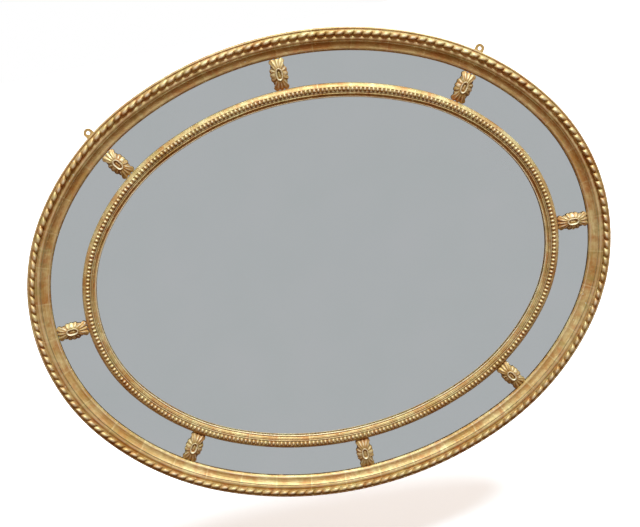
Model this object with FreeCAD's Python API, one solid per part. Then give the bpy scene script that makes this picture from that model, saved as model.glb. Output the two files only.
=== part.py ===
import FreeCAD, Part
import math
import os

# Oval sectional wall mirror. Millimetres. X is across, Z is up, the front faces -Y.
# The origin is the middle of the oval on the wall plane, which is the back of the frame.

# Sight oval: the inner edge of the outer frame, three tangent radii in each quarter
SIGHT_HALF_WIDTH = 597.5
SIGHT_HALF_HEIGHT = 473.0
SHOULDER_RADIUS = 534.0
END_ANGLE = 35.0
SHOULDER_ANGLE = 65.0

# Levels in front of the wall plane
BOARD_THICK = 10.0
GLASS_THICK = 5.0
GLASS_FRONT = BOARD_THICK + GLASS_THICK

# Widths round the oval
FRAME_WIDTH = 49.0
BORDER_WIDTH = 67.5
SLIP_WIDTH = 30.5
LIP_COVER = 8.0
PLATE_CLEAR = 1.0
TRIM_CLEAR = 0.3

# Outer frame section: distance out from the sight edge, height above the glass
LIP_EDGE = 1.0
LIP_WIDTH = 7.5
LIP_HEIGHT = 5.2
CAVETTO_OUT = 19.5
CAVETTO_HEIGHT = 11.0
CAVETTO_MIDDLE_WIDTH = 0.62
CAVETTO_MIDDLE_RISE = 0.30
QUIRK = 1.5
FILLET_WIDTH = 8.6
FILLET_HEIGHT = 11.6
BAND_WIDTH = 4.2
BAND_HEIGHT = 10.9
ROPE_SEAT_HEIGHT = 9.0
ROPE_GAP = 3.2
ROPE_HEIGHT = 9.2
ROPE_PITCH = 19.5
ROPE_LEAN = 50.0
ROPE_GROOVE_DEPTH = 6.2
ROPE_GROOVE_HALF = 3.2
CUT_OVERRUN = 1.0

# Slip section: distance in from the slip's outer edge, height above the glass
SLIP_EDGE = 1.5
SLIP_FLANK_WIDTH = 8.0
SLIP_FLANK_HEIGHT = 9.2
FLANK_MIDDLE_WIDTH = 0.36
FLANK_MIDDLE_RISE = 0.66
SLIP_CORE_START = 8.5
SLIP_CORE_WIDTH = 16.0
BEAD_SEAT_WIDTH = 8.8
BEAD_SEAT_HEIGHT = 6.5
BEAD_BAND_THICK = 1.5
BEAD_RADIUS = 4.0
BEAD_PITCH = 9.0
BEAD_SINK = 0.1
REED_WIDTH = 3.6
REED_DROP = 1.8
REED_RISE = 0.9
REED_STEP = 0.5
SLIP_LIP_WIDTH = 3.0
SLIP_LIP_HEIGHT = 4.2
SLIP_LIP_RISE = 1.2
SLIP_LIP_EDGE = 2.4

# Clips, at the normal angles they have in the photograph
CLIP_ANGLES = (-1.9, 55.1, 90.5, 125.6, 181.5, 236.0, 270.5, 304.0)
CLIP_LENGTH = 66.0
CLIP_WIDTH = 38.0
CLIP_BASE = 5.0
CLIP_CORE_LENGTH = 44.0
CLIP_CORE_WIDTH = 24.0
END_LOBE_RADIUS = 7.5
CORNER_LOBE_INSET = 9.5
CORNER_LOBE_RADIUS = 7.8
SIDE_LOBE_ALONG = 9.0
SIDE_LOBE_INSET = 6.6
SIDE_LOBE_RADIUS = 6.0
SIDE_KNOB_RADIUS = 4.6
SIDE_KNOB_SINK = 1.2
MIDDLE_LOBE_RADIUS = 7.0
MIDDLE_KNOB_RADIUS = 5.2
MIDDLE_KNOB_SINK = 2.2
CLIP_FLUTES = 5
CLIP_FLUTE_STEP = 17.0
CLIP_FLUTE_RADIUS = 3.6
CLIP_FLUTE_ROOT = 1.2
CLIP_FLUTE_SHORTER = 0.2
BOSS_HALF_STRAIGHT = 5.5
BOSS_RADIUS = 5.2
BOSS_TUBE = 2.5
BOSS_HEIGHT = 8.4
BOSS_HOLLOW_DEPTH = 1.6
BOSS_HOLLOW_RADIUS = 3.3
PLATE_JOINT = 4.2

# Backboards
BOARDS = 5
BOARD_OUT = 22.0
BOARD_GAP = 0.8

# Loose tongues in the frame joints
TONGUE_LENGTH = 60.0
TONGUE_WIDTH = 20.0
TONGUE_THICK = 6.0
TONGUE_OUT = (BOARD_OUT + FRAME_WIDTH) / 2
TONGUE_BACK = 6.0

# Hanging plates
HANG_ANGLE = 55.0
HANG_THICK = 2.0
HANG_EYE_SHOWS = 6.5
HANG_EYE_OUT = FRAME_WIDTH + HANG_EYE_SHOWS
HANG_EYE_RADIUS = 10.0
HANG_HOLE_RADIUS = 3.8
HANG_BAR_LENGTH = 64.0
HANG_BAR_WIDTH = 18.0
HANG_BAR_CORNER = 4.0
HANG_BAR_OUT = (BOARD_OUT + FRAME_WIDTH) / 2
HANG_SCREW_SPREAD = 22.0

# Screws
SCREW_RADIUS = 1.75
SCREW_HEAD_RADIUS = 3.5
SCREW_RIM = 0.4
SCREW_SLOT_WIDTH = 1.0
SCREW_SLOT_DEPTH = 0.9
BOARD_SCREW_LENGTH = 18.0
CLIP_SCREW_LENGTH = 22.0
HANG_SCREW_LENGTH = 16.0
BOARD_SCREW_INSET = 6.0
BOARD_SCREW_OUT = BOARD_OUT - BOARD_SCREW_INSET
BOARD_SCREW_ANGLES = (8, 24, 40, 54, 68, 82)
SLIP_SCREW_ANGLES = (12, 45, 75)

os.makedirs("parts", exist_ok=True)
V = FreeCAD.Vector
FRONT = V(0, -1, 0)


def save(name, shape):
    shape.exportStep("parts/" + name + ".step")


def direction(degrees):
    a = math.radians(degrees)
    return V(math.cos(a), 0, math.sin(a))


def quarter_arcs():
    """Radii and centres of the end, shoulder and crown arcs of the first quarter of the sight oval."""
    one = direction(END_ANGLE)
    two = direction(SHOULDER_ANGLE)
    r2 = SHOULDER_RADIUS
    p, q = one.x - 1, -two.x
    r, s = one.z, 1 - two.z
    e = -SIGHT_HALF_WIDTH + r2 * (one.x - two.x)
    g = SIGHT_HALF_HEIGHT + r2 * (one.z - two.z)
    det = p * s - q * r
    r1 = (e * s - q * g) / det
    r3 = (p * g - r * e) / det
    c1 = V(SIGHT_HALF_WIDTH - r1, 0, 0)
    c2 = c1 + one * (r1 - r2)
    c3 = V(0, 0, SIGHT_HALF_HEIGHT - r3)
    return (r1, c1), (r2, c2), (r3, c3)


END, SHOULDER, CROWN = quarter_arcs()


def mirrored(centre, sx, sz):
    return V(centre.x * sx, 0, centre.z * sz)


# Every arc of the oval, counterclockwise seen from the front: name, radius, centre, first angle, last angle
ARCS = [
    ("right", END[0], END[1], -END_ANGLE, END_ANGLE),
    ("upper_right", SHOULDER[0], SHOULDER[1], END_ANGLE, SHOULDER_ANGLE),
    ("top", CROWN[0], CROWN[1], SHOULDER_ANGLE, 180 - SHOULDER_ANGLE),
    ("upper_left", SHOULDER[0], mirrored(SHOULDER[1], -1, 1), 180 - SHOULDER_ANGLE, 180 - END_ANGLE),
    ("left", END[0], mirrored(END[1], -1, 1), 180 - END_ANGLE, 180 + END_ANGLE),
    ("lower_left", SHOULDER[0], mirrored(SHOULDER[1], -1, -1), 180 + END_ANGLE, 180 + SHOULDER_ANGLE),
    ("bottom", CROWN[0], mirrored(CROWN[1], 1, -1), 180 + SHOULDER_ANGLE, 360 - SHOULDER_ANGLE),
    ("lower_right", SHOULDER[0], mirrored(SHOULDER[1], 1, -1), 360 - SHOULDER_ANGLE, 360 - END_ANGLE),
]


def on_oval(angle, out, height=0.0):
    """Point at a normal angle, so far out from the sight edge and so high above the glass."""
    for name, radius, centre, first, last in ARCS:
        if first <= angle <= last or first <= angle - 360 <= last:
            return centre + direction(angle) * (radius + out) + FRONT * (GLASS_FRONT + height)


def placed(shape, angle, out, height=0.0):
    """Puts a shape drawn with X outward, Y across and Z to the front at a place on the oval."""
    outward = direction(angle)
    across = FRONT.cross(outward)
    p = on_oval(angle, out, height)
    m = FreeCAD.Matrix(outward.x, across.x, FRONT.x, p.x, outward.y, across.y, FRONT.y, p.y,
                       outward.z, across.z, FRONT.z, p.z, 0, 0, 0, 1)
    copy = shape.copy()
    copy.Placement = FreeCAD.Placement(m)
    return copy


def section(start, *steps):
    """Wire in (out, height): a step is a point for a line, or a middle point and an end point for an arc."""
    edges = []
    here = V(start[0], start[1], 0)
    for step in steps:
        if isinstance(step[0], tuple):
            middle = V(step[0][0], step[0][1], 0)
            there = V(step[1][0], step[1][1], 0)
            edges.append(Part.Arc(here, middle, there).toShape())
        else:
            there = V(step[0], step[1], 0)
            edges.append(Part.makeLine(here, there))
        here = there
    edges.append(Part.makeLine(here, V(start[0], start[1], 0)))
    return Part.Wire(edges)


def swept(wire, arc):
    """Solid of a section taken round one arc of the oval."""
    name, radius, centre, first, last = arc
    outward = direction(first)
    across = FRONT.cross(outward) * -1
    p = centre + outward * radius + FRONT * GLASS_FRONT
    m = FreeCAD.Matrix(outward.x, FRONT.x, across.x, p.x, outward.y, FRONT.y, across.y, p.y,
                       outward.z, FRONT.z, across.z, p.z, 0, 0, 0, 1)
    copy = wire.copy()
    copy.Placement = FreeCAD.Placement(m)
    return Part.Face(copy).revolve(centre, FRONT, last - first)


def oval_face(out):
    """Face inside the oval at a distance out from the sight edge, on the wall plane."""
    edges = []
    for name, radius, centre, first, last in ARCS:
        ends = [centre + direction(a) * (radius + out) for a in (first, (first + last) / 2, last)]
        edges.append(Part.Arc(*ends).toShape())
    return Part.Face(Part.Wire(edges))


def oval_slab(out, back, thick):
    """Oval slab: back is its distance in front of the wall plane."""
    slab = oval_face(out)
    slab.translate(FRONT * back)
    return slab.extrude(FRONT * thick)


def near(tools, shape):
    return [t for t in tools if t.BoundBox.intersect(shape.BoundBox)]


def cut_by(shape, tools):
    found = near(tools, shape)
    return shape.cut(found) if found else shape


def frame_section():
    seat_in = CAVETTO_OUT + QUIRK + FILLET_WIDTH
    seat_out = FRAME_WIDTH - BAND_WIDTH
    fillet_foot = CAVETTO_HEIGHT - QUIRK
    board_edge = BOARD_OUT + TRIM_CLEAR
    plate_edge = LIP_COVER + PLATE_CLEAR
    lip_middle = (LIP_WIDTH * (1 - math.sqrt(0.5)), LIP_EDGE + (LIP_HEIGHT - LIP_EDGE) * math.sqrt(0.5))
    cavetto_middle = (LIP_WIDTH + CAVETTO_MIDDLE_WIDTH * (CAVETTO_OUT - LIP_WIDTH),
                      LIP_HEIGHT + CAVETTO_MIDDLE_RISE * (CAVETTO_HEIGHT - LIP_HEIGHT))
    return section(
        (0, 0), (0, LIP_EDGE),
        (lip_middle, (LIP_WIDTH, LIP_HEIGHT)),
        (cavetto_middle, (CAVETTO_OUT, CAVETTO_HEIGHT)),
        (CAVETTO_OUT, fillet_foot), (CAVETTO_OUT + QUIRK, fillet_foot),
        ((CAVETTO_OUT + QUIRK + FILLET_WIDTH / 2, FILLET_HEIGHT), (seat_in, fillet_foot)),
        (seat_in, ROPE_SEAT_HEIGHT), (seat_out, ROPE_SEAT_HEIGHT), (seat_out, ROPE_SEAT_HEIGHT + TRIM_CLEAR),
        ((FRAME_WIDTH - BAND_WIDTH / 2, BAND_HEIGHT), (FRAME_WIDTH, ROPE_SEAT_HEIGHT)),
        (FRAME_WIDTH, -GLASS_FRONT), (board_edge, -GLASS_FRONT), (board_edge, -GLASS_THICK),
        (plate_edge, -GLASS_THICK), (plate_edge, 0))


def rope_line():
    """Middle of the rope, out from the sight edge, and its half width: a channel parts it from the fillet."""
    inner = CAVETTO_OUT + QUIRK + FILLET_WIDTH + ROPE_GAP
    outer = FRAME_WIDTH - BAND_WIDTH - TRIM_CLEAR
    return (inner + outer) / 2, (outer - inner) / 2


def rope(arc):
    """One length of rope: a half round with a slanting groove between each two strands."""
    name, radius, centre, first, last = arc
    middle, half = rope_line()
    wire = section((middle - half, ROPE_SEAT_HEIGHT),
                   ((middle, ROPE_SEAT_HEIGHT + ROPE_HEIGHT), (middle + half, ROPE_SEAT_HEIGHT)))
    strands = round(math.radians(last - first) * (radius + middle) / ROPE_PITCH)
    step = (last - first) / strands
    top = ROPE_HEIGHT + CUT_OVERRUN
    flare = ROPE_GROOVE_HALF / ROPE_GROOVE_DEPTH
    low = ROPE_HEIGHT - ROPE_GROOVE_DEPTH
    spread = flare * (top - low)
    wedge = Part.Face(Part.makePolygon([V(0, 0, low), V(0, spread, top), V(0, -spread, top), V(0, 0, low)]))
    reach = half / math.sin(math.radians(ROPE_LEAN)) + ROPE_PITCH / 2
    wedge.translate(V(-reach, 0, 0))
    wedge = wedge.extrude(V(2 * reach, 0, 0))
    wedge.rotate(V(0, 0, 0), V(0, 0, 1), ROPE_LEAN - 90)
    grooves = [placed(wedge, first + step * i, middle, ROPE_SEAT_HEIGHT) for i in range(1, strands)]
    return swept(wire, arc).cut(grooves)


def slip_section():
    """Slip section, drawn in distance out from the sight edge like the frame's."""
    def at(inward, height):
        return (-BORDER_WIDTH - inward, height)
    seat_end = SLIP_FLANK_WIDTH + BEAD_SEAT_WIDTH
    reed_end = seat_end + 2 * REED_WIDTH
    reed_top = SLIP_FLANK_HEIGHT - REED_DROP
    reed_mid = reed_top - REED_STEP
    reed_low = reed_mid - REED_STEP
    lip_start = SLIP_WIDTH - SLIP_LIP_WIDTH
    lip_foot = SLIP_LIP_HEIGHT - SLIP_LIP_RISE
    core_end = SLIP_CORE_START + SLIP_CORE_WIDTH
    return section(
        at(0, 0), at(0, SLIP_EDGE),
        (at(FLANK_MIDDLE_WIDTH * SLIP_FLANK_WIDTH, FLANK_MIDDLE_RISE * SLIP_FLANK_HEIGHT),
         at(SLIP_FLANK_WIDTH, SLIP_FLANK_HEIGHT)),
        at(SLIP_FLANK_WIDTH, BEAD_SEAT_HEIGHT), at(seat_end, BEAD_SEAT_HEIGHT), at(seat_end, reed_top),
        (at(seat_end + REED_WIDTH / 2, reed_top + REED_RISE), at(seat_end + REED_WIDTH, reed_mid)),
        (at(seat_end + 1.5 * REED_WIDTH, reed_mid + REED_RISE), at(reed_end, reed_low)),
        (at((reed_end + lip_start) / 2, lip_foot + REED_STEP), at(lip_start, lip_foot)),
        (at(lip_start + SLIP_LIP_WIDTH / 2, SLIP_LIP_HEIGHT), at(SLIP_WIDTH, SLIP_LIP_EDGE)),
        at(SLIP_WIDTH, 0), at(core_end, 0), at(core_end, -GLASS_THICK), at(SLIP_CORE_START, -GLASS_THICK),
        at(SLIP_CORE_START, 0))


def beads(arc):
    """One length of bead moulding: a flat band with half-round beads along it."""
    name, radius, centre, first, last = arc
    outer = -BORDER_WIDTH - SLIP_FLANK_WIDTH - TRIM_CLEAR
    inner = -BORDER_WIDTH - SLIP_FLANK_WIDTH - BEAD_SEAT_WIDTH + TRIM_CLEAR
    band_top = BEAD_SEAT_HEIGHT + BEAD_BAND_THICK
    middle = (outer + inner) / 2
    wire = section((outer, BEAD_SEAT_HEIGHT), (outer, band_top), (inner, band_top), (inner, BEAD_SEAT_HEIGHT))
    band = swept(wire, arc)
    count = round(math.radians(last - first) * (radius + middle) / BEAD_PITCH)
    step = (last - first) / count
    bead = Part.makeSphere(BEAD_RADIUS, V(0, 0, 0), V(0, 0, 1), 0, 90, 360)
    row = [placed(bead, first + step * (i + 0.5), middle, band_top - BEAD_SINK) for i in range(count)]
    return band.multiFuse(row)


def disc(x, y, radius, low, high):
    return Part.makeCylinder(radius, high - low, V(x, y, low))


def flute(angle, sign):
    """One tapering flute of the shell at an end of the clip."""
    a = math.radians(angle)
    root = V(sign * (BOSS_HALF_STRAIGHT + BOSS_RADIUS), 0, CLIP_BASE)
    length = (CLIP_LENGTH / 2 - CLIP_FLUTE_RADIUS - abs(root.x)) * (1 - CLIP_FLUTE_SHORTER * math.sin(a) ** 2)
    way = V(sign * math.cos(a), math.sin(a), 0)
    cone = Part.makeCone(CLIP_FLUTE_ROOT, CLIP_FLUTE_RADIUS, length, root, way)
    return [cone, Part.makeSphere(CLIP_FLUTE_RADIUS, root + way * length)]


def stadium(radius, low, high):
    """Upright block with round ends, as long as the clip's oval boss."""
    block = Part.makeBox(2 * BOSS_HALF_STRAIGHT, 2 * radius, high - low, V(-BOSS_HALF_STRAIGHT, -radius, low))
    ends = [disc(sx * BOSS_HALF_STRAIGHT, 0, radius, low, high) for sx in (-1, 1)]
    return block.multiFuse(ends).removeSplitter()


def boss_ring():
    """Round rim of the clip's oval boss: two half rings and two straight rails."""
    rails = []
    for sy in (-1, 1):
        start = V(-BOSS_HALF_STRAIGHT, sy * BOSS_RADIUS, BOSS_HEIGHT)
        rails.append(Part.makeCylinder(BOSS_TUBE, 2 * BOSS_HALF_STRAIGHT, start, V(1, 0, 0)))
    for sx in (-1, 1):
        half = Part.makeTorus(BOSS_RADIUS, BOSS_TUBE, V(0, 0, BOSS_HEIGHT), V(0, 0, 1), 0, 360, 180)
        half.rotate(V(0, 0, 0), V(0, 0, 1), -90 * sx)
        half.translate(V(sx * BOSS_HALF_STRAIGHT, 0, 0))
        rails.append(half)
    return rails[0].multiFuse(rails[1:]).removeSplitter()


def clip():
    """One carved clip: scalloped base, a shell of flutes at both ends, and an oval ring round a hollow."""
    side = CLIP_WIDTH / 2
    reach = CLIP_LENGTH / 2
    corner_x, corner_y = reach - CORNER_LOBE_INSET, side - CORNER_LOBE_INSET
    core_corner = V(-CLIP_CORE_LENGTH / 2, -CLIP_CORE_WIDTH / 2, 0)
    base = [Part.makeBox(CLIP_CORE_LENGTH, CLIP_CORE_WIDTH, CLIP_BASE, core_corner)]
    carving = []
    for sx in (-1, 1):
        base.append(disc(sx * (reach - END_LOBE_RADIUS), 0, END_LOBE_RADIUS, 0, CLIP_BASE))
        for sy in (-1, 1):
            lobe_y = sy * (side - SIDE_LOBE_INSET)
            base.append(disc(sx * corner_x, sy * corner_y, CORNER_LOBE_RADIUS, 0, CLIP_BASE))
            base.append(disc(sx * SIDE_LOBE_ALONG, lobe_y, SIDE_LOBE_RADIUS, 0, CLIP_BASE))
            knob = V(sx * SIDE_LOBE_ALONG, lobe_y, CLIP_BASE - SIDE_KNOB_SINK)
            carving.append(Part.makeSphere(SIDE_KNOB_RADIUS, knob))
        for i in range(CLIP_FLUTES):
            carving.extend(flute((i - (CLIP_FLUTES - 1) / 2) * CLIP_FLUTE_STEP, sx))
    for sy in (-1, 1):
        lobe_y = sy * (side - MIDDLE_LOBE_RADIUS)
        base.append(disc(0, lobe_y, MIDDLE_LOBE_RADIUS, 0, CLIP_BASE))
        carving.append(Part.makeSphere(MIDDLE_KNOB_RADIUS, V(0, lobe_y, CLIP_BASE - MIDDLE_KNOB_SINK)))
    body = base[0].multiFuse(base[1:]).removeSplitter()
    for piece in carving:
        body = body.fuse(piece)
    body = body.fuse(stadium(BOSS_RADIUS, 0, BOSS_HEIGHT).fuse(boss_ring()))
    top = BOSS_HEIGHT + BOSS_TUBE + CUT_OVERRUN
    keep = Part.makeBox(2 * CLIP_LENGTH, 2 * CLIP_WIDTH, top, V(-CLIP_LENGTH, -CLIP_WIDTH, 0))
    hollow = stadium(BOSS_HOLLOW_RADIUS, BOSS_HEIGHT - BOSS_HOLLOW_DEPTH, top)
    return body.common(keep).cut(hollow).removeSplitter()


def screw(length, extra=0.0):
    """Countersunk screw along +Z from its head, or the hole for it when extra is the clearance."""
    head = SCREW_HEAD_RADIUS + extra
    shank = SCREW_RADIUS + extra
    outline = [V(0, 0, 0), V(head, 0, 0), V(head, 0, SCREW_RIM), V(shank, 0, SCREW_RIM + head - shank),
               V(shank, 0, length), V(0, 0, length), V(0, 0, 0)]
    return Part.Face(Part.makePolygon(outline)).revolve(V(0, 0, 0), V(0, 0, 1), 360)


def slotted(length):
    slot = Part.makeBox(2 * SCREW_HEAD_RADIUS, SCREW_SLOT_WIDTH, SCREW_SLOT_DEPTH,
                        V(-SCREW_HEAD_RADIUS, -SCREW_SLOT_WIDTH / 2, 0))
    return screw(length).cut(slot)


def all_quarters(angles):
    found = []
    for a in angles:
        found.extend((a, 180 - a, 180 + a, 360 - a))
    return found


def hanging_outline(grow):
    """Flat shape of a hanging plate: a bar on the frame, a neck and a round eye. Thickness along +Z."""
    bar = Part.makeBox(HANG_BAR_WIDTH + 2 * grow, HANG_BAR_LENGTH + 2 * grow, HANG_THICK,
                       V(-HANG_BAR_WIDTH / 2 - grow, -HANG_BAR_LENGTH / 2 - grow, 0))
    upright = [e for e in bar.Edges if abs(e.tangentAt(e.FirstParameter).z) > 0.9]
    bar = bar.makeFillet(HANG_BAR_CORNER + grow, upright)
    reach = HANG_EYE_OUT - HANG_BAR_OUT
    half = HANG_EYE_RADIUS + grow
    neck = Part.makeBox(reach, 2 * half, HANG_THICK, V(0, -half, 0))
    return bar.multiFuse([neck, disc(reach, 0, half, 0, HANG_THICK)]).removeSplitter()


clip_out = -BORDER_WIDTH / 2
slip_screw_out = -BORDER_WIDTH - SLIP_CORE_START - SLIP_CORE_WIDTH / 2

# Where the screws go: angle, distance out
board_spots = [(a, BOARD_SCREW_OUT) for a in all_quarters(BOARD_SCREW_ANGLES)]
board_spots += [(a, slip_screw_out) for a in all_quarters(SLIP_SCREW_ANGLES)]
board_holes = [placed(screw(BOARD_SCREW_LENGTH, TRIM_CLEAR), a, u, -GLASS_FRONT) for a, u in board_spots]
clip_holes = [placed(screw(CLIP_SCREW_LENGTH, TRIM_CLEAR), a, clip_out, -GLASS_FRONT) for a in CLIP_ANGLES]

hang_angles = {"right": HANG_ANGLE, "left": 180 - HANG_ANGLE}
hang_holes = []
hang_screws = []
for a in hang_angles.values():
    for sy in (-1, 1):
        for kind, clear in ((hang_holes, TRIM_CLEAR), (hang_screws, None)):
            one = slotted(HANG_SCREW_LENGTH) if clear is None else screw(HANG_SCREW_LENGTH, clear)
            one.translate(V(0, sy * HANG_SCREW_SPREAD, 0))
            kind.append(placed(one, a, HANG_BAR_OUT, -GLASS_FRONT))
hang_recess = [placed(hanging_outline(TRIM_CLEAR), a, HANG_BAR_OUT, -GLASS_FRONT) for a in hang_angles.values()]

# Loose tongues across the frame joints
tongue = Part.makeBox(TONGUE_WIDTH, TONGUE_LENGTH, TONGUE_THICK, V(-TONGUE_WIDTH / 2, -TONGUE_LENGTH / 2, 0))
mortise = Part.makeBox(TONGUE_WIDTH + 2 * TRIM_CLEAR, TONGUE_LENGTH + 2 * TRIM_CLEAR, TONGUE_THICK,
                       V(-TONGUE_WIDTH / 2 - TRIM_CLEAR, -TONGUE_LENGTH / 2 - TRIM_CLEAR, 0))
joint_angles = [arc[4] for arc in ARCS]
tongues = [placed(tongue, a, TONGUE_OUT, TONGUE_BACK - GLASS_FRONT) for a in joint_angles]
mortises = [placed(mortise, a, TONGUE_OUT, TONGUE_BACK - GLASS_FRONT) for a in joint_angles]

# Rings of the frame, the rope, the slip and the beads, one piece to each arc
frame_wire = frame_section()
slip_wire = slip_section()
for arc in ARCS:
    save("frame_" + arc[0], cut_by(swept(frame_wire, arc), mortises + board_holes + hang_recess + hang_holes))
    save("rope_" + arc[0], rope(arc))
    save("slip_" + arc[0], cut_by(swept(slip_wire, arc), board_holes))
    save("beads_" + arc[0], beads(arc))

# Mirror plates: eight round the border, parted under the clips, and the central oval
ring = oval_slab(LIP_COVER, BOARD_THICK, GLASS_THICK).cut(
    oval_slab(-BORDER_WIDTH - SLIP_CORE_START + PLATE_CLEAR, BOARD_THICK, GLASS_THICK))
parting = Part.makeBox(BORDER_WIDTH + 4 * LIP_COVER, PLATE_JOINT, GLASS_THICK,
                       V(-BORDER_WIDTH / 2 - 2 * LIP_COVER, -PLATE_JOINT / 2, 0))
partings = [placed(parting, a, clip_out, -GLASS_THICK) for a in CLIP_ANGLES]
plates = ring.cut(partings).Solids
plates.sort(key=lambda s: math.atan2(s.CenterOfMass.z, s.CenterOfMass.x) % (2 * math.pi))
for i, plate in enumerate(plates):
    save("border_plate_%d" % (i + 1), plate)
central_out = -BORDER_WIDTH - SLIP_CORE_START - SLIP_CORE_WIDTH - PLATE_CLEAR
save("central_plate", oval_slab(central_out, BOARD_THICK, GLASS_THICK))

# Clips
carved = clip()
for a, name in zip(CLIP_ANGLES, [arc[0] for arc in ARCS]):
    save("clip_" + name, cut_by(placed(carved, a, clip_out), clip_holes))

# Backboards
back = oval_slab(BOARD_OUT, 0, BOARD_THICK)
span = 2 * (SIGHT_HALF_HEIGHT + BOARD_OUT) / BOARDS
for i in range(BOARDS):
    low = -SIGHT_HALF_HEIGHT - BOARD_OUT + i * span
    strip = Part.makeBox(4 * SIGHT_HALF_WIDTH, BOARD_THICK, span - BOARD_GAP,
                         V(-2 * SIGHT_HALF_WIDTH, -BOARD_THICK, low + BOARD_GAP / 2))
    save("backboard_%d" % (i + 1), cut_by(back.common(strip), board_holes + clip_holes))

# Hanging plates and the loose hardware
eye = disc(HANG_EYE_OUT - HANG_BAR_OUT, 0, HANG_HOLE_RADIUS, -CUT_OVERRUN, HANG_THICK + CUT_OVERRUN)
for name, a in hang_angles.items():
    flat = placed(hanging_outline(0).cut(eye), a, HANG_BAR_OUT, -GLASS_FRONT)
    save("hanging_plate_" + name, cut_by(flat, hang_holes))
save("frame_tongues", Part.Compound(tongues))
board_screws = [placed(slotted(BOARD_SCREW_LENGTH), a, u, -GLASS_FRONT) for a, u in board_spots]
save("board_screws", Part.Compound(board_screws))
clip_screws = [placed(slotted(CLIP_SCREW_LENGTH), a, clip_out, -GLASS_FRONT) for a in CLIP_ANGLES]
save("clip_screws", Part.Compound(clip_screws))
save("hanging_screws", Part.Compound(hang_screws))
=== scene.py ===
import math

import bmesh
import bpy
from mathutils import Matrix, Vector


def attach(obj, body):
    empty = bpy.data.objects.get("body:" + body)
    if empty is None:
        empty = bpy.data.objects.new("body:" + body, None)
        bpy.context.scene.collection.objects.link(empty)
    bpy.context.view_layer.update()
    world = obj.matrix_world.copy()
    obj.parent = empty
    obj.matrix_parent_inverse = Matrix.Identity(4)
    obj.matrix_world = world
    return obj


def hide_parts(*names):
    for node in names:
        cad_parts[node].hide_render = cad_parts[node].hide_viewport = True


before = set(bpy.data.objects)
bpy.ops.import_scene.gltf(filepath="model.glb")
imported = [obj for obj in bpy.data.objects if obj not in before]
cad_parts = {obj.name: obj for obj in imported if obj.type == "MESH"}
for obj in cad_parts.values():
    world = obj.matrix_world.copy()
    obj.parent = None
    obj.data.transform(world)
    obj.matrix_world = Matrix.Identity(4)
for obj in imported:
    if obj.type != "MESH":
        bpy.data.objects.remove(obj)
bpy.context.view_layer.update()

MM = 0.001
FRONT = Vector((0, -1, 0))

# Sizes of the mirror, repeated from the part's source, in millimetres
SIGHT_HALF_WIDTH = 597.5
SIGHT_HALF_HEIGHT = 473.0
SHOULDER_RADIUS = 534.0
END_ANGLE = 35.0
SHOULDER_ANGLE = 65.0
BOARD_THICK = 10.0
GLASS_THICK = 5.0
GLASS_FRONT = BOARD_THICK + GLASS_THICK
FRAME_WIDTH = 49.0
BORDER_WIDTH = 67.5
SLIP_WIDTH = 30.5
LIP_COVER = 8.0
PLATE_CLEAR = 1.0
TRIM_CLEAR = 0.3
LIP_EDGE = 1.0
LIP_WIDTH = 7.5
LIP_HEIGHT = 5.2
CAVETTO_OUT = 19.5
CAVETTO_HEIGHT = 11.0
CAVETTO_MIDDLE_WIDTH = 0.62
QUIRK = 1.5
FILLET_WIDTH = 8.6
FILLET_HEIGHT = 11.6
BAND_WIDTH = 4.2
BAND_HEIGHT = 10.9
ROPE_SEAT_HEIGHT = 9.0
ROPE_GAP = 3.2
ROPE_HEIGHT = 9.2
ROPE_PITCH = 19.5
ROPE_LEAN = 50.0
SLIP_EDGE = 1.5
SLIP_FLANK_WIDTH = 8.0
SLIP_FLANK_HEIGHT = 9.2
FLANK_MIDDLE_WIDTH = 0.36
FLANK_MIDDLE_RISE = 0.66
SLIP_CORE_START = 8.5
SLIP_CORE_WIDTH = 16.0
BEAD_SEAT_WIDTH = 8.8
BEAD_SEAT_HEIGHT = 6.5
BEAD_BAND_THICK = 1.5
BEAD_PITCH = 9.0
REED_WIDTH = 3.6
REED_DROP = 1.8
REED_RISE = 0.9
REED_STEP = 0.5
SLIP_LIP_WIDTH = 3.0
SLIP_LIP_HEIGHT = 4.2
SLIP_LIP_RISE = 1.2
SLIP_LIP_EDGE = 2.4
CLIP_ANGLES = (-1.9, 55.1, 90.5, 125.6, 181.5, 236.0, 270.5, 304.0)
BOARD_OUT = 22.0

# How finely the looks are modelled
SWEEP_STEP = 9.0
ARC_POINTS = 7
BACK_CLEAR = 0.4
BELOW_GLASS = -0.01
BARE_INSET = 0.5
SILVER_CLEAR = 2.0
ROPE_STEPS = 12
ROPE_POINTS = 11
BEAD_SIDES = 12
BEAD_RINGS = 7
FLUTE_STEPS = 12
CLIP_ROWS = 30
BOWL_ROWS = 5
RING_LAST_ROW = 15
MERGE_DISTANCE = 0.00001
SMOOTH_BELOW = 38.0

# Carving that the solids have in plainer form, in millimetres or shares
CAVETTO_MIDDLE_RISE = 0.38
FILLET_CAMBER = 1.8
FILLET_TILT = 0.4
ROPE_WAIST = 0.74
ROPE_ROOT = 0.16
ROPE_OUTER_BITE = 0.3
ROPE_TAPER = 0.20
ROPE_FULLNESS = 2.8
ROPE_SQUARENESS = 0.85
ROPE_SKEW = 2.0
ROPE_BITE_FROM = -0.4
ROPE_BITE_SPAN = 0.6
BEAD_HALF_ACROSS = 4.9
BEAD_HALF_ALONG = 3.7
BEAD_RISE = 3.8
BEAD_CUT = -0.1
RING_HALF_STRAIGHT = 2.8
RING_END = 8.7
RING_SIDE = 5.8
RING_TUBE = 2.2
RING_RISE = 3.2
BOWL_FLOOR = 5.6
BUTTON_RISE = 2.8
CLIP_CROWN = 9.4
CLIP_RIM = 2.0
CLIP_ROUNDING = 1.1
FLUTES_IN_QUARTER = 4
FLUTE_CROWDING = 1.6
FLUTE_REACH = 11.0
FLUTE_DEPTH = 1.0
FLUTE_FROM = 0.05
FLUTE_SPAN = 0.75
WAIST_FLUTE = 2.5
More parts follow.
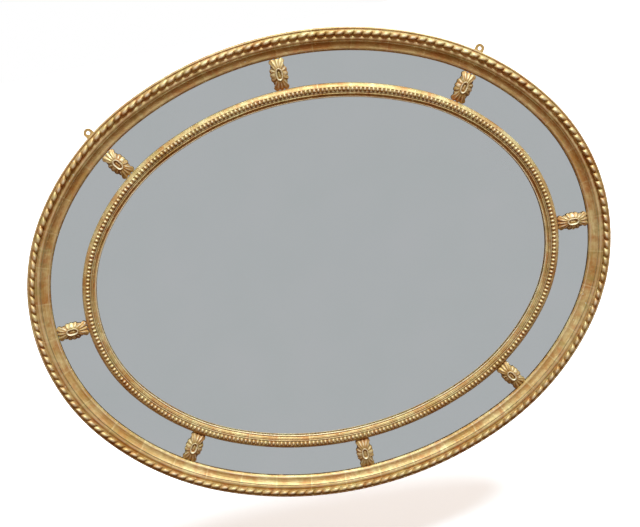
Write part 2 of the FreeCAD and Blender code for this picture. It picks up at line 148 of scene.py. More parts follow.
WAIST_DEPTH = 0.9
WAIST_NARROWNESS = 1.6
# Dirt and painted shade in the hollows, and rubbing and painted highlight on the ridges of the carving, as
# shares
ROPE_DIRT_AND_SHADE = 0.55
ROPE_DIRT_AND_SHADE_FADE = 1.6
BEAD_DIRT_AND_SHADE = 0.15
BEAD_DIRT_AND_SHADE_FADE = 0.6
BOWL_DIRT_AND_SHADE = 0.34
RING_DIRT_AND_SHADE = 0.34
FLUTE_DIRT_AND_SHADE = 0.22
WAIST_DIRT_AND_SHADE = 0.30
COLLAR_DIRT_AND_SHADE = 0.4
FLUTE_WEAR_AND_HIGHLIGHT = 0.8
# Round lobes of the clip's outline in one quarter: place along, place across, radius
CLIP_LOBES = ((27.2, 0.0, 6.2), (26.8, 9.8, 6.6), (16.5, 8.2, 6.8), (8.6, 12.2, 6.4), (0.0, 12.2, 7.0))


def direction(degrees):
    a = math.radians(degrees)
    return Vector((math.cos(a), 0, math.sin(a)))


def quarter_arcs():
    """Radii and centres of the end, shoulder and crown arcs of the sight oval."""
    one, two, r2 = direction(END_ANGLE), direction(SHOULDER_ANGLE), SHOULDER_RADIUS
    fit = Matrix(((one.x - 1, -two.x), (one.z, 1 - two.z)))
    want = Vector((-SIGHT_HALF_WIDTH + r2 * (one.x - two.x), SIGHT_HALF_HEIGHT + r2 * (one.z - two.z)))
    r1, r3 = fit.inverted() @ want
    c1 = Vector((SIGHT_HALF_WIDTH - r1, 0, 0))
    return (r1, c1), (r2, c1 + one * (r1 - r2)), (r3, Vector((0, 0, SIGHT_HALF_HEIGHT - r3)))


END, SHOULDER, CROWN = quarter_arcs()


def oval_arc(name, arc, sx, sz, first, last):
    return {"name": name, "radius": arc[0], "centre": Vector((arc[1].x * sx, 0, arc[1].z * sz)),
            "first": first, "last": last, "turn": math.radians(last - first)}


ARCS = [
    oval_arc("right", END, 1, 1, -END_ANGLE, END_ANGLE),
    oval_arc("upper_right", SHOULDER, 1, 1, END_ANGLE, SHOULDER_ANGLE),
    oval_arc("top", CROWN, 1, 1, SHOULDER_ANGLE, 180 - SHOULDER_ANGLE),
    oval_arc("upper_left", SHOULDER, -1, 1, 180 - SHOULDER_ANGLE, 180 - END_ANGLE),
    oval_arc("left", END, -1, 1, 180 - END_ANGLE, 180 + END_ANGLE),
    oval_arc("lower_left", SHOULDER, -1, -1, 180 + END_ANGLE, 180 + SHOULDER_ANGLE),
    oval_arc("bottom", CROWN, 1, -1, 180 + SHOULDER_ANGLE, 360 - SHOULDER_ANGLE),
    oval_arc("lower_right", SHOULDER, 1, -1, 360 - SHOULDER_ANGLE, 360 - END_ANGLE),
]
run_so_far = 0.0
for arc in ARCS:
    arc["start"] = run_so_far
    run_so_far += arc["turn"] * arc["radius"]


def arc_point(arc, angle, out, height):
    """Point at a normal angle, so far out from the sight edge and so high above the glass, in metres."""
    flat = arc["centre"] + direction(angle) * (arc["radius"] + out)
    return (flat + FRONT * (GLASS_FRONT + height)) * MM


def arc_place(arc, point):
    """Place of a point on an arc: millimetres along the sight edge, out from it and above the glass."""
    d = point / MM - arc["centre"]
    middle = (arc["first"] + arc["last"]) / 2
    turned = (math.degrees(math.atan2(d.z, d.x)) - middle + 180) % 360 - 180 + middle
    along = math.radians(turned - arc["first"]) * arc["radius"]
    return along, math.hypot(d.x, d.z) - arc["radius"], -d.y - GLASS_FRONT


def placed(angle, out, height=0.0):
    """Matrix that puts a shape drawn with X outward, Y across and Z to the front at a place on the oval."""
    arc = next(a for a in ARCS if a["first"] <= angle <= a["last"])
    outward = direction(angle)
    m = Matrix((outward, FRONT.cross(outward), FRONT)).transposed().to_4x4()
    m.translation = arc_point(arc, angle, out, height)
    return m


# Materials


def linear(hex_colour):
    """Linear colour of an sRGB hex value."""
    parts = [int(hex_colour[i:i + 2], 16) / 255 for i in (0, 2, 4)]
    return tuple(c / 12.92 if c <= 0.04045 else ((c + 0.055) / 1.055) ** 2.4 for c in parts) + (1.0,)


def put(tree, kind, inputs, **settings):
    """Adds a node. The settings are its own, and each input is a value or the output of another node."""
    node = tree.nodes.new("ShaderNode" + kind)
    for name, value in settings.items():
        setattr(node, name, value)
    for socket, value in inputs.items():
        if isinstance(value, bpy.types.NodeSocket):
            tree.links.new(value, node.inputs[socket])
        else:
            node.inputs[socket].default_value = value
    return node


def new_material(name):
    material = bpy.data.materials.new(name)
    material.use_nodes = True
    return material, material.node_tree, material.node_tree.nodes["Principled BSDF"]


def per_metre(size_mm):
    """Texture scale at which a pattern repeats about every so many millimetres."""
    return 1.0 / (size_mm * MM)


GOLD_PALE = "EAD69C"
GOLD_MID = "BC8B42"
GOLD_OLIVE = "AE9654"
GOLD_RUBBED_AND_HIGHLIT = "F4E7C6"
BOLE = "BC763A"
DIRT_AND_SHADE_BROWN = "352210"
GESSO = "E6D8BC"
LEAF_LENGTH = 78.0


def water_gilding(name):
    """Worn gold leaf over orange bole and gesso: leaf laps, rubbing and painted highlight on high points,
    dirt and painted shade in hollows, fine ripples.
    """
    material, tree, shader = new_material(name)
    run = put(tree, "Attribute", {}, attribute_name="run").outputs["Vector"]
    dirt_and_shade = put(tree, "Attribute", {}, attribute_name="dirt_and_shade").outputs["Fac"]
    wear_and_highlight = put(tree, "Attribute", {}, attribute_name="wear_and_highlight").outputs["Fac"]
    place = put(tree, "TexCoord", {}).outputs["Object"]

    # Each leaf has its own tone, and a thin pale line where it laps the next
    bend = put(tree, "TexNoise", {"Vector": place, "Scale": per_metre(40), "Detail": 2.0}).outputs["Fac"]
    split = put(tree, "SeparateXYZ", {"Vector": run})
    leaf = put(tree, "Math", {0: split.outputs["X"], 1: per_metre(LEAF_LENGTH)},
               operation="MULTIPLY").outputs[0]
    leaf = put(tree, "Math", {0: bend, 1: 0.12, 2: leaf}, operation="MULTIPLY_ADD").outputs[0]
    number = put(tree, "Math", {0: leaf}, operation="FLOOR").outputs[0]
    tone = put(tree, "TexWhiteNoise", {"W": number}, noise_dimensions="1D").outputs["Value"]
    share = put(tree, "Math", {0: leaf}, operation="FRACT").outputs[0]
    lap = put(tree, "MapRange", {"Value": share, "From Min": 0.0, "From Max": 0.05, "To Min": 1.0,
                                 "To Max": 0.0})

    # Broad patina, and streaks that run along the moulding
    patina = put(tree, "TexNoise", {"Vector": place, "Scale": per_metre(55), "Detail": 5.0,
                                    "Roughness": 0.6}).outputs["Fac"]
    stretch = put(tree, "Mapping", {"Vector": run,
                                    "Scale": (per_metre(60), per_metre(3.2), 1.0)}).outputs["Vector"]
    streak = put(tree, "TexNoise", {"Vector": stretch, "Scale": 1.0, "Detail": 4.0,
                                    "Roughness": 0.65}).outputs["Fac"]
    light = put(tree, "Math", {0: patina, 1: streak}, operation="ADD").outputs[0]
    light = put(tree, "Math", {0: tone, 1: 0.20, 2: light}, operation="MULTIPLY_ADD").outputs[0]
    light = put(tree, "MapRange", {"Value": light, "From Min": 0.80, "From Max": 1.45}).outputs["Result"]
    colour = put(tree, "Mix", {0: light, 6: linear(GOLD_MID), 7: linear(GOLD_PALE)},
                 data_type="RGBA").outputs[2]

    # Greener and redder patches, where toning lies over the leaf and where the bole shows through it
    tint = put(tree, "TexNoise", {"Vector": place, "Scale": per_metre(24), "Detail": 4.0,
                                  "Roughness": 0.6}).outputs["Fac"]
    olive = put(tree, "MapRange", {"Value": tint, "From Min": 0.50, "From Max": 0.64,
                                   "To Max": 0.6}).outputs["Result"]
    colour = put(tree, "Mix", {0: olive, 6: colour, 7: linear(GOLD_OLIVE)}, data_type="RGBA").outputs[2]
    rub_noise = put(tree, "TexNoise", {"Vector": place, "Scale": per_metre(26), "Detail": 6.0,
                                       "Roughness": 0.7}).outputs["Fac"]
    rub = put(tree, "MapRange", {"Value": rub_noise, "From Min": 0.45, "From Max": 0.64,
                                 "To Max": 0.75}).outputs["Result"]
    colour = put(tree, "Mix", {0: rub, 6: colour, 7: linear(BOLE)}, data_type="RGBA").outputs[2]

    # Pale on the high points: rubbing through to paler gold, and a painted highlight on the crests
    worn_and_highlit = put(tree, "Math", {0: rub_noise, 1: wear_and_highlight}, operation="MULTIPLY").outputs[0]
    worn_and_highlit = put(tree, "MapRange", {"Value": worn_and_highlit, "From Min": 0.18, "From Max": 0.55,
                                  "To Max": 0.8}).outputs["Result"]
    colour = put(tree, "Mix", {0: worn_and_highlit, 6: colour, 7: linear(GOLD_RUBBED_AND_HIGHLIT)}, data_type="RGBA").outputs[2]
    lap_share = put(tree, "Math", {0: lap.outputs["Result"], 1: 0.55}, operation="MULTIPLY").outputs[0]
    colour = put(tree, "Mix", {0: lap_share, 6: colour, 7: linear(GOLD_PALE)}, data_type="RGBA").outputs[2]

    # A few chips down to the white gesso
    chip_noise = put(tree, "TexNoise", {"Vector": place, "Scale": per_metre(11),
                                        "Detail": 3.0}).outputs["Fac"]
    chip = put(tree, "MapRange", {"Value": chip_noise, "From Min": 0.725,
                                  "From Max": 0.74}).outputs["Result"]
    colour = put(tree, "Mix", {0: chip, 6: colour, 7: linear(GESSO)}, data_type="RGBA").outputs[2]

    # Old dirt and toned size in the hollows, and with them painted shade in the creases, channels and contact
    # lines
    grime_and_shade = put(tree, "TexNoise", {"Vector": place, "Scale": per_metre(9), "Detail": 5.0,
                                   "Roughness": 0.65}).outputs["Fac"]
    grime_and_shade = put(tree, "Math", {0: grime_and_shade, 1: 0.35, 2: dirt_and_shade}, operation="MULTIPLY_ADD").outputs[0]
    grime_and_shade = put(tree, "MapRange", {"Value": grime_and_shade, "From Min": 0.24, "From Max": 1.02,
                                   "To Max": 0.96}).outputs["Result"]
    colour = put(tree, "Mix", {0: grime_and_shade, 6: colour, 7: linear(DIRT_AND_SHADE_BROWN)}, data_type="RGBA").outputs[2]
    tree.links.new(colour, shader.inputs["Base Color"])

    dull = put(tree, "Math", {0: grime_and_shade, 1: chip}, operation="MAXIMUM").outputs[0]
    metal = put(tree, "MapRange", {"Value": dull, "To Min": 0.45, "To Max": 0.05}).outputs["Result"]
    tree.links.new(metal, shader.inputs["Metallic"])
    rough = put(tree, "Math", {0: grime_and_shade, 1: 0.25, 2: 0.46}, operation="MULTIPLY_ADD").outputs[0]
    rough = put(tree, "Math", {0: rub_noise, 1: 0.16, 2: rough}, operation="MULTIPLY_ADD").outputs[0]
    tree.links.new(rough, shader.inputs["Roughness"])

    ripple = put(tree, "TexNoise", {"Vector": place, "Scale": per_metre(7), "Detail": 4.0}).outputs["Fac"]
    relief = put(tree, "Math", {0: streak, 1: 0.5, 2: ripple}, operation="MULTIPLY_ADD").outputs[0]
    relief = put(tree, "Math", {0: chip, 1: -0.8, 2: relief}, operation="MULTIPLY_ADD").outputs[0]
    bump = put(tree, "Bump", {"Height": relief, "Strength": 0.7, "Distance": 0.0012}).outputs["Normal"]
    tree.links.new(bump, shader.inputs["Normal"])
    return material


def bare_wood(name, pale, dark, grain_mm, shift=0.0):
    """Planed wood left bare at the back: dark late-wood lines along the board, stains and a dull face."""
    material, tree, shader = new_material(name)
    place = put(tree, "TexCoord", {}).outputs["Object"]
    stretch = put(tree, "Mapping", {"Vector": place, "Location": (shift, shift, shift),
                                    "Scale": (per_metre(220), per_metre(grain_mm), per_metre(grain_mm))})
    grain = put(tree, "TexNoise", {"Vector": stretch.outputs["Vector"], "Scale": 1.0, "Detail": 6.0,
                                   "Roughness": 0.6, "Distortion": 0.35}).outputs["Fac"]
    lines = put(tree, "MapRange", {"Value": grain, "From Min": 0.36, "From Max": 0.66}).outputs["Result"]
    colour = put(tree, "Mix", {0: lines, 6: linear(dark), 7: linear(pale)}, data_type="RGBA").outputs[2]
    stain = put(tree, "TexNoise", {"Vector": place, "Scale": per_metre(130), "Detail": 4.0}).outputs["Fac"]
    stain = put(tree, "MapRange", {"Value": stain, "From Min": 0.50, "From Max": 0.75,
                                   "To Max": 0.40}).outputs["Result"]
    colour = put(tree, "Mix", {0: stain, 6: colour, 7: linear("3A2A1B")}, data_type="RGBA").outputs[2]
    tree.links.new(colour, shader.inputs["Base Color"])
    rough = put(tree, "MapRange", {"Value": grain, "To Min": 0.62, "To Max": 0.85}).outputs["Result"]
    tree.links.new(rough, shader.inputs["Roughness"])
    bump = put(tree, "Bump", {"Height": grain, "Strength": 0.4, "Distance": 0.0006}).outputs["Normal"]
    tree.links.new(bump, shader.inputs["Normal"])
    return material


def clear_glass(name):
    """Old drawn plate glass: colourless, with a faint cool tint and a slow wave in its surface."""
    material, tree, shader = new_material(name)
    place = put(tree, "TexCoord", {}).outputs["Object"]
    wave = put(tree, "TexNoise", {"Vector": place, "Scale": per_metre(120), "Detail": 1.0}).outputs["Fac"]
    colour = put(tree, "Mix", {0: wave, 6: linear("F6FAF8"), 7: linear("FCFDFD")},
                 data_type="RGBA").outputs[2]
    tree.links.new(colour, shader.inputs["Base Color"])
    shader.inputs["Roughness"].default_value = 0.0
    shader.inputs["Transmission Weight"].default_value = 1.0
    bump = put(tree, "Bump", {"Height": wave, "Strength": 0.1, "Distance": 0.0002}).outputs["Normal"]
    tree.links.new(bump, shader.inputs["Normal"])
    return material


def silvering(name):
    """Tin and mercury leaf on the back of the glass: a bright cool mirror, slightly hazed with age."""
    material, tree, shader = new_material(name)
    place = put(tree, "TexCoord", {}).outputs["Object"]
    haze = put(tree, "TexNoise", {"Vector": place, "Scale": per_metre(260), "Detail": 3.0}).outputs["Fac"]
    colour = put(tree, "Mix", {0: haze, 6: linear("FAFBFC"), 7: linear("FDFDFD")},
                 data_type="RGBA").outputs[2]
    tree.links.new(colour, shader.inputs["Base Color"])
    shader.inputs["Metallic"].default_value = 1.0
    rough = put(tree, "MapRange", {"Value": haze, "To Min": 0.0, "To Max": 0.03}).outputs["Result"]
    tree.links.new(rough, shader.inputs["Roughness"])
    return material


def dull_metal(name, pale, dark, mottle_mm, roughness):
    """Cast or rolled metal gone dull with handling: mottled tarnish and a soft sheen."""
    material, tree, shader = new_material(name)
    place = put(tree, "TexCoord", {}).outputs["Object"]
    mottle = put(tree, "TexNoise", {"Vector": place, "Scale": per_metre(mottle_mm), "Detail": 5.0,
                                    "Roughness": 0.6})
    share = put(tree, "MapRange", {"Value": mottle.outputs["Fac"], "From Min": 0.35,
                                   "From Max": 0.68}).outputs["Result"]
    colour = put(tree, "Mix", {0: share, 6: linear(pale), 7: linear(dark)}, data_type="RGBA").outputs[2]
    tree.links.new(colour, shader.inputs["Base Color"])
    shader.inputs["Metallic"].default_value = 0.7
    rough = put(tree, "MapRange", {"Value": share, "To Min": roughness,
                                   "To Max": roughness + 0.2}).outputs["Result"]
    tree.links.new(rough, shader.inputs["Roughness"])
    bump = put(tree, "Bump", {"Height": share, "Strength": 0.3, "Distance": 0.0002}).outputs["Normal"]
    tree.links.new(bump, shader.inputs["Normal"])
    return material


gilding = water_gilding("worn_water_gilding")
PINE_TONES = (("C79D66", "8F6437"), ("BB8F58", "835A30"), ("CDA56F", "97703F"), ("B98C57", "7F552C"),
              ("C49A63", "8B6136"))
pine = [bare_wood("aged_pine_%d" % (i + 1), pale, dark, grain_mm=7.0, shift=10.0 * i)
        for i, (pale, dark) in enumerate(PINE_TONES)]
frame_wood = bare_wood("bare_frame_pine", "A87C4A", "6C4826", grain_mm=4.0, shift=70.0)
beech = bare_wood("beech", "B98E5E", "94683F", grain_mm=2.5)
plate_glass = clear_glass("clear_plate_glass")
tin_leaf = silvering("tin_silvering")
brass = dull_metal("dull_brass", "E6CC92", "B39558", mottle_mm=6.0, roughness=0.38)
steel = dull_metal("dull_steel", "8B867E", "4E4640", mottle_mm=2.5, roughness=0.42)


# Shapes


def arc_points(start, middle, end):
    """Points of a round stretch of a section, after its start and up to its end."""
    a, b = middle - start, end - start
    cross = 2 * (a.x * b.y - a.y * b.x)
    centre = start + Vector((b.y * a.length_squared - a.y * b.length_squared,
                             a.x * b.length_squared - b.x * a.length_squared)) / cross
    first = start - centre
    sign = math.copysign(1, cross)
    turn = sign * (2 * math.pi - (first.angle_signed(end - centre) * sign) % (2 * math.pi))
    return [centre + Matrix.Rotation(turn * i / ARC_POINTS, 2) @ first for i in range(1, ARC_POINTS + 1)]


def section(start, *steps):
    """Points of a section in (out, height): a step is a point of a line, or a middle and an end of an arc."""
    points = [Vector(start)]
    for step in steps:
        if isinstance(step[0], tuple):
            points += arc_points(points[-1], Vector(step[0]), Vector(step[1]))
        else:
            points.append(Vector(step))
    return points


def swept(bm, points, arc, steps):
    """Takes a closed section round one arc of the oval and closes its two ends."""
    ring = [bm.verts.new(arc_point(arc, arc["first"], p.x, p.y)) for p in points]
    loop = [bm.edges.new(pair) for pair in zip(ring, ring[1:] + ring[:1])]
    turned = bmesh.ops.spin(bm, geom=ring + loop, cent=arc["centre"] * MM, axis=FRONT, angle=arc["turn"],
                            steps=steps)
    far = [e for e in turned["geom_last"] if isinstance(e, bmesh.types.BMEdge)]
    bmesh.ops.contextual_create(bm, geom=loop)
    bmesh.ops.contextual_create(bm, geom=far)


def nearness(x, y, spots):
    """Largest effect of some spots of a section; each has an out, a height, a reach and a strength."""
    return max(s * math.exp(-((x - u) ** 2 + (y - h) ** 2) / r ** 2) for u, h, r, s in spots)


def finish_piece(name, bm, materials, node):
    """Turns a bmesh into a finished piece that rides on the one body and stands for its node."""
    bmesh.ops.recalc_face_normals(bm, faces=bm.faces[:])
    for face in bm.faces:
        face.smooth = True
    for edge in bm.edges:
        edge.smooth = edge.calc_face_angle(0.0) < math.radians(SMOOTH_BELOW)
    mesh = bpy.data.meshes.new(name)
    bm.to_mesh(mesh)
    bm.free()
    for material in materials:
        mesh.materials.append(material)
    piece = bpy.data.objects.new(name, mesh)
    bpy.context.scene.collection.objects.link(piece)
    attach(piece, "root")
    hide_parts(node)


def run_place(arc, along, out, height):
    """Place for patterns that follow a moulding: metres round the oval, and over its section."""
    return ((arc["start"] + along) * MM, (out + 0.5 * height) * MM, 0)


def add_layers(bm):
    return (bm.verts.layers.float_vector.new("run"), bm.verts.layers.float.new("dirt_and_shade"),
            bm.verts.layers.float.new("wear_and_highlight"))


def moulding(arc, points, hollows, ridges):
    """Sweeps a section round one arc, and marks its dirt and painted shade in the hollows and its rubbing and
    painted highlight on the ridges.
    """
    bm = bmesh.new()
    run, dirt_and_shade, wear_and_highlight = add_layers(bm)
    swept(bm, points, arc, round(arc["turn"] * arc["radius"] / SWEEP_STEP))
    for v in bm.verts:
        along, out, height = arc_place(arc, v.co)
        v[run] = run_place(arc, along, out, height)
        v[dirt_and_shade] = nearness(out, height, hollows)
        v[wear_and_highlight] = nearness(out, height, ridges)
    return bm


def frame_points():
    seat_in = CAVETTO_OUT + QUIRK + FILLET_WIDTH
    seat_out = FRAME_WIDTH - BAND_WIDTH
    foot = CAVETTO_HEIGHT - QUIRK
    board_edge = BOARD_OUT + TRIM_CLEAR
    plate_edge = LIP_COVER + PLATE_CLEAR
    back = BACK_CLEAR - GLASS_FRONT
    lip_middle = (LIP_WIDTH * (1 - math.sqrt(0.5)), LIP_EDGE + (LIP_HEIGHT - LIP_EDGE) * math.sqrt(0.5))
    cavetto_middle = (LIP_WIDTH + CAVETTO_MIDDLE_WIDTH * (CAVETTO_OUT - LIP_WIDTH),
                      LIP_HEIGHT + CAVETTO_MIDDLE_RISE * (CAVETTO_HEIGHT - LIP_HEIGHT))
    fillet_middle = (CAVETTO_OUT + QUIRK + FILLET_WIDTH / 2, FILLET_HEIGHT - FILLET_TILT / 2)
    return section(
        (0, 0), (0, LIP_EDGE),
        (lip_middle, (LIP_WIDTH, LIP_HEIGHT)),
        (cavetto_middle, (CAVETTO_OUT, CAVETTO_HEIGHT)),
        (CAVETTO_OUT, foot), (CAVETTO_OUT + QUIRK, foot),
        (CAVETTO_OUT + QUIRK, FILLET_HEIGHT - FILLET_CAMBER - FILLET_TILT),
        (fillet_middle, (seat_in, FILLET_HEIGHT - FILLET_CAMBER)),
        (seat_in, ROPE_SEAT_HEIGHT), (seat_out, ROPE_SEAT_HEIGHT),
        (seat_out, ROPE_SEAT_HEIGHT + TRIM_CLEAR),
        ((FRAME_WIDTH - BAND_WIDTH / 2, BAND_HEIGHT), (FRAME_WIDTH, ROPE_SEAT_HEIGHT)),
        (FRAME_WIDTH, back), (board_edge, back), (board_edge, -GLASS_THICK), (plate_edge, -GLASS_THICK),
        (plate_edge, 0))


def frame_segment(arc):
    """One sawn and moulded length of the outer frame, gilded in front and bare behind."""
    foot = CAVETTO_HEIGHT - QUIRK
    seat_in = CAVETTO_OUT + QUIRK + FILLET_WIDTH
    seat_out = FRAME_WIDTH - BAND_WIDTH
    # Dirt, and painted shade in the quirk, the channel beside the rope, the band's edge and a dark line where
    # the lip meets the glass
    hollows = [(CAVETTO_OUT + QUIRK / 2, foot, 1.5, 0.55),
               (seat_in + 0.6 * ROPE_GAP, ROPE_SEAT_HEIGHT, 1.8, 0.18),
               (seat_out - 0.5, ROPE_SEAT_HEIGHT, 1.6, 0.3), (0, 0, 1.0, 0.6)]
    # Rubbing, and painted highlight along the lip, the cavetto's edge, the fillet and the band
    ridges = [(LIP_WIDTH / 2, LIP_HEIGHT, 2.0, 0.7), (CAVETTO_OUT, CAVETTO_HEIGHT, 1.6, 0.6),
              (CAVETTO_OUT + QUIRK + FILLET_WIDTH / 2, FILLET_HEIGHT, 3.0, 0.6),
              (FRAME_WIDTH - BAND_WIDTH / 2, BAND_HEIGHT, 2.2, 0.6)]
    bm = moulding(arc, frame_points(), hollows, ridges)
    for face in bm.faces:
        _, out, height = arc_place(arc, face.calc_center_median())
        behind = height < BELOW_GLASS and out < FRAME_WIDTH - BARE_INSET
        face.material_index = 1 if behind else 0
    finish_piece("moulded_frame_" + arc["name"], bm, [gilding, frame_wood], "frame_" + arc["name"])


def slip_points():
    def at(inward, height):
        return (-BORDER_WIDTH - inward, height)
    seat_end = SLIP_FLANK_WIDTH + BEAD_SEAT_WIDTH
    reed_end = seat_end + 2 * REED_WIDTH
    reed_top = SLIP_FLANK_HEIGHT - REED_DROP
    reed_mid = reed_top - REED_STEP
    reed_low = reed_mid - REED_STEP
    lip_start = SLIP_WIDTH - SLIP_LIP_WIDTH
    lip_foot = SLIP_LIP_HEIGHT - SLIP_LIP_RISE
    core_end = SLIP_CORE_START + SLIP_CORE_WIDTH
    return section(
        at(0, 0), at(0, SLIP_EDGE),
        (at(FLANK_MIDDLE_WIDTH * SLIP_FLANK_WIDTH, FLANK_MIDDLE_RISE * SLIP_FLANK_HEIGHT),
         at(SLIP_FLANK_WIDTH, SLIP_FLANK_HEIGHT)),
        at(SLIP_FLANK_WIDTH, BEAD_SEAT_HEIGHT), at(seat_end, BEAD_SEAT_HEIGHT), at(seat_end, reed_top),
        (at(seat_end + REED_WIDTH / 2, reed_top + REED_RISE), at(seat_end + REED_WIDTH, reed_mid)),
        (at(seat_end + 1.5 * REED_WIDTH, reed_mid + REED_RISE), at(reed_end, reed_low)),
        (at((reed_end + lip_start) / 2, lip_foot + REED_STEP), at(lip_start, lip_foot)),
        (at(lip_start + SLIP_LIP_WIDTH / 2, SLIP_LIP_HEIGHT), at(SLIP_WIDTH, SLIP_LIP_EDGE)),
        at(SLIP_WIDTH, 0), at(core_end, 0), at(core_end, -GLASS_THICK), at(SLIP_CORE_START, -GLASS_THICK),
        at(SLIP_CORE_START, 0))


def slip_segment(arc):
    """One length of the inner frame: a rounded flank, a seat for the beads, two reeds and a thin lip."""
    seat_end = SLIP_FLANK_WIDTH + BEAD_SEAT_WIDTH
    reed_end = seat_end + 2 * REED_WIDTH
    reed_height = SLIP_FLANK_HEIGHT - REED_DROP
    lip_start = SLIP_WIDTH - SLIP_LIP_WIDTH
    # Dirt, and painted shade where the slip meets the glass on both sides, at both edges of the bead seat and
    # in the reed grooves
    hollows = [(-BORDER_WIDTH, 0, 1.6, 0.8), (-BORDER_WIDTH - SLIP_FLANK_WIDTH, BEAD_SEAT_HEIGHT, 1.6, 0.5),
               (-BORDER_WIDTH - seat_end, BEAD_SEAT_HEIGHT + 0.6, 1.8, 0.8),
               (-BORDER_WIDTH - seat_end - REED_WIDTH, reed_height - REED_STEP, 1.0, 0.5),
               (-BORDER_WIDTH - reed_end, reed_height - 2 * REED_STEP, 1.2, 0.5),
               (-BORDER_WIDTH - SLIP_WIDTH, 0, 1.0, 0.4)]
    # Rubbing, and painted highlight on the flank's crest, the first reed and the thin lip
    ridges = [(-BORDER_WIDTH - SLIP_FLANK_WIDTH, SLIP_FLANK_HEIGHT, 2.0, 0.5),
              (-BORDER_WIDTH - seat_end - REED_WIDTH / 2, reed_height + REED_RISE, 1.4, 0.6),
              (-BORDER_WIDTH - lip_start - SLIP_LIP_WIDTH / 2, SLIP_LIP_HEIGHT, 1.8, 1.0)]
    bm = moulding(arc, slip_points(), hollows, ridges)
    for face in bm.faces:
        height = arc_place(arc, face.calc_center_median())[2]
        face.material_index = 1 if height < BELOW_GLASS else 0
    finish_piece("moulded_slip_" + arc["name"], bm, [gilding, frame_wood], "slip_" + arc["name"])


def rope_length(arc):
    """One length of carved rope: a round whose strands swell between deep slanting grooves."""
    inner = CAVETTO_OUT + QUIRK + FILLET_WIDTH + ROPE_GAP
    outer = FRAME_WIDTH - BAND_WIDTH - TRIM_CLEAR
    middle, half = (inner + outer) / 2, (outer - inner) / 2
    strands = round(arc["turn"] * (arc["radius"] + middle) / ROPE_PITCH)
    slant = 2 * half / math.tan(math.radians(ROPE_LEAN)) / (arc["radius"] + middle)
    around = [math.pi * i / ROPE_POINTS for i in range(ROPE_POINTS + 1)]
    bm = bmesh.new()
    run, dirt_and_shade, wear_and_highlight = add_layers(bm)
    swept(bm, [Vector((middle - half * math.copysign(abs(math.cos(a)) ** ROPE_SQUARENESS, math.cos(a)),
                       ROPE_SEAT_HEIGHT + ROPE_HEIGHT * math.sin(a) ** ROPE_SQUARENESS)) for a in around],
          arc, strands * ROPE_STEPS)
    for v in bm.verts:
        along, out, height = arc_place(arc, v.co)
        angle = along / arc["radius"]
        side = math.atan2((height - ROPE_SEAT_HEIGHT) / ROPE_HEIGHT, (out - middle) / half) / math.pi - 0.5
        across = (2 * (angle / arc["turn"] * strands % 1.0) - 1) * (1 + ROPE_TAPER * (2 * side) ** 2)
        inward = min(1.0, max(0.0, (side - ROPE_BITE_FROM) / ROPE_BITE_SPAN))
        bite = ROPE_OUTER_BITE + (1 - ROPE_OUTER_BITE) * inward
        swell = 1 - bite * min(1.0, abs(across) ** ROPE_FULLNESS)
        lift = (height - ROPE_SEAT_HEIGHT) / ROPE_HEIGHT
        out = middle + (out - middle) * (ROPE_WAIST + (1 - ROPE_WAIST) * swell) - ROPE_SKEW * lift
        height = ROPE_SEAT_HEIGHT + (height - ROPE_SEAT_HEIGHT) * (ROPE_ROOT + (1 - ROPE_ROOT) * swell)
        turned = arc["first"] + math.degrees(angle + slant * side)
        v.co = arc_point(arc, turned, out, height)
        v[run] = run_place(arc, along, out, height)
        # Painted shade, with some dirt, darkens the grooves between the strands; rubbing and a painted
        # highlight pale the strands' crests
        v[dirt_and_shade] = max(ROPE_DIRT_AND_SHADE - ROPE_DIRT_AND_SHADE_FADE * swell, 0.0)
        v[wear_and_highlight] = max(0.0, swell - 2 * abs(side)) ** 2
    finish_piece("carved_rope_" + arc["name"], bm, [gilding], "rope_" + arc["name"])


def bead_length(arc):
    """One length of bead moulding: a flat band and a row of beads, a little longer across than along."""
    outer = -BORDER_WIDTH - SLIP_FLANK_WIDTH - TRIM_CLEAR
    inner = -BORDER_WIDTH - SLIP_FLANK_WIDTH - BEAD_SEAT_WIDTH + TRIM_CLEAR
    top = BEAD_SEAT_HEIGHT + BEAD_BAND_THICK
    middle = (outer + inner) / 2
    count = round(arc["turn"] * (arc["radius"] + middle) / BEAD_PITCH)
    step = (arc["last"] - arc["first"]) / count
    bm = bmesh.new()
    run, dirt_and_shade, wear_and_highlight = add_layers(bm)
    swept(bm, section((outer, BEAD_SEAT_HEIGHT), (outer, top), (inner, top), (inner, BEAD_SEAT_HEIGHT)),
          arc, count)
    one = bmesh.new()
    bmesh.ops.create_uvsphere(one, u_segments=BEAD_SIDES, v_segments=BEAD_RINGS, radius=MM)
    bmesh.ops.bisect_plane(one, geom=one.verts[:] + one.edges[:] + one.faces[:],
                           plane_co=(0, 0, BEAD_CUT * MM),
                           plane_no=(0, 0, 1), clear_inner=True)
    bmesh.ops.scale(one, vec=(BEAD_HALF_ACROSS, BEAD_HALF_ALONG, BEAD_RISE), verts=one.verts[:])
    bead = bpy.data.meshes.new("bead")
    one.to_mesh(bead)
    one.free()
    for i in range(count):
        old = len(bm.verts)
        bm.from_mesh(bead)
        bm.verts.ensure_lookup_table()
        bmesh.ops.transform(bm, matrix=placed(arc["first"] + step * (i + 0.5), middle, top),
                            verts=bm.verts[old:])
    bpy.data.meshes.remove(bead)
    for v in bm.verts:
        along, out, height = arc_place(arc, v.co)
        rise = (height - top) / BEAD_RISE
        v[run] = run_place(arc, along, out, height)
        # Painted shade, with some dirt, darkens the band between and under the beads; rubbing and a painted
        # highlight pale the beads' tops
        v[dirt_and_shade] = max(0.0, BEAD_DIRT_AND_SHADE - BEAD_DIRT_AND_SHADE_FADE * rise)
        v[wear_and_highlight] = max(0.0, rise) ** 3
    finish_piece("bead_moulding_" + arc["name"], bm, [gilding], "beads_" + arc["name"])


